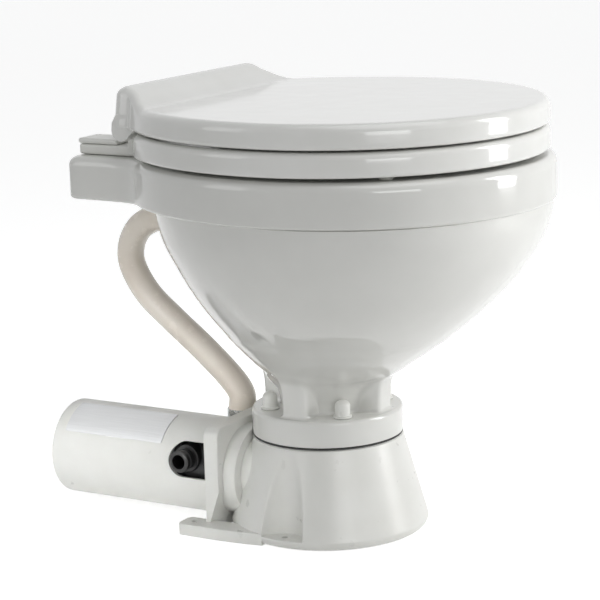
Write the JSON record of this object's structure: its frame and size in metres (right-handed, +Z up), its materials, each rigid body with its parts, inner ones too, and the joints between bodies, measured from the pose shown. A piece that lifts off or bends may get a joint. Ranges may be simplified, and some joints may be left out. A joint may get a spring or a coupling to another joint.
{
  "type": "electric toilet",
  "caption": "Compact electric toilet: glazed bowl on a hollow foot, hinged seat and lid, flush hose, and a motor-driven pump in a tubular cover behind.",
  "frame": {"origin": "centre of the round foot, on the floor", "axes": "+Z up, the front of the bowl towards -Y, the pump's motor towards +Y"},
  "size_m": [0.344, 0.47, 0.401],
  "materials": {
    "china": "glossy cool white glaze over vitreous china",
    "enamel": "glossy white enamel over moulded wood",
    "moulding": "satin white moulded plastic",
    "hose": "glossy ivory hose",
    "seal_rubber": "black rubber",
    "pump_plastic": "satin black glass-filled plastic",
    "steel": "stainless steel",
    "bronze": "sintered bronze",
    "copper": "turned copper segments",
    "carbon": "pressed carbon",
    "magnet": "sintered ferrite",
    "zinc_plate": "zinc-plated steel",
    "label": "brushed silver foil, blank",
    "clear_rubber": "translucent soft plastic"
  },
  "bodies": {
    "bowl_and_pump": {"base": "moulding", "base_gasket": "seal_rubber", "bowl": "china", "bowl_bolt_1": "steel", "bowl_bolt_2": "steel", "bowl_bolt_3": "steel", "bowl_bolt_4": "steel", "bowl_cap_nut_1": "moulding", "bowl_cap_nut_2": "moulding", "bowl_cap_nut_3": "moulding", "bowl_cap_nut_4": "moulding", "bowl_inlet_spigot": "moulding", "bowl_inlet_seal": "seal_rubber", "flush_hose": "hose", "hose_clamp_upper": "steel", "hose_clamp_lower": "steel", "pump_body": "pump_plastic", "pump_wear_plate": "steel", "seal_plate": "pump_plastic", "seal_plate_o_ring": "seal_rubber", "shaft_seal": "seal_rubber", "motor_can": "zinc_plate", "motor_magnet_upper": "magnet", "motor_magnet_lower": "magnet", "motor_end_bell": "zinc_plate", "motor_bush_front": "bronze", "motor_bush_rear": "bronze", "motor_cover": "moulding", "label_plate": "label", "cable_gland": "seal_rubber", "joker_valve": "seal_rubber", "discharge_o_ring": "seal_rubber", "hinge_block_left": "moulding", "hinge_block_right": "moulding", "hinge_cap_left": "moulding", "hinge_cap_right": "moulding", "hinge_bolt_left": "steel", "hinge_bolt_right": "steel", "hinge_wing_nut_left": "moulding", "hinge_wing_nut_right": "moulding", "hinge_pin_left": "steel", "hinge_pin_right": "steel"},
    "seat": {"seat": "enamel", "seat_buffer_1": "clear_rubber", "seat_buffer_2": "clear_rubber", "seat_buffer_3": "clear_rubber", "seat_buffer_4": "clear_rubber"},
    "lid": {"lid": "enamel", "lid_buffer_left": "clear_rubber", "lid_buffer_right": "clear_rubber"},
    "rotor": {"shaft": "steel", "armature": "zinc_plate", "commutator": "copper", "macerator_blade": "steel", "waste_impeller": "pump_plastic", "flexible_impeller": "seal_rubber"},
    "discharge_elbow": {"discharge_elbow": "moulding"},
    "brush_left": {"brush_left": "carbon"},
    "brush_right": {"brush_right": "carbon"}
  },
  "joints": [
    {"name": "seat_hinge", "type": "hinge", "parent": "bowl_and_pump", "child": "seat", "pos_m": [0, 0.136, 0.3635], "axis": [1, 0, 0], "range_deg": [-95, 0]},
    {"name": "lid_hinge", "type": "hinge", "parent": "seat", "child": "lid", "pos_m": [0, 0.136, 0.3635], "axis": [-1, 0, 0], "range_deg": [0, 95]},
    {"name": "rotor_spin", "type": "hinge", "parent": "bowl_and_pump", "child": "rotor", "pos_m": [-0.028, 0.16, 0.05], "axis": [0, 1, 0], "continuous": true},
    {"name": "discharge_swivel", "type": "hinge", "parent": "bowl_and_pump", "child": "discharge_elbow", "pos_m": [0.0805, 0.0705, 0.066], "axis": [1, 0, 0], "range_deg": [-20, 120]},
    {"name": "brush_left_slide", "type": "slide", "parent": "bowl_and_pump", "child": "brush_left", "axis": [-1, 0, 0], "range_m": [0, 0.004], "stiffness_N_per_m": 300, "springref_m": -0.003},
    {"name": "brush_right_slide", "type": "slide", "parent": "bowl_and_pump", "child": "brush_right", "axis": [1, 0, 0], "range_m": [0, 0.004], "stiffness_N_per_m": 300, "springref_m": -0.003}
  ]
}
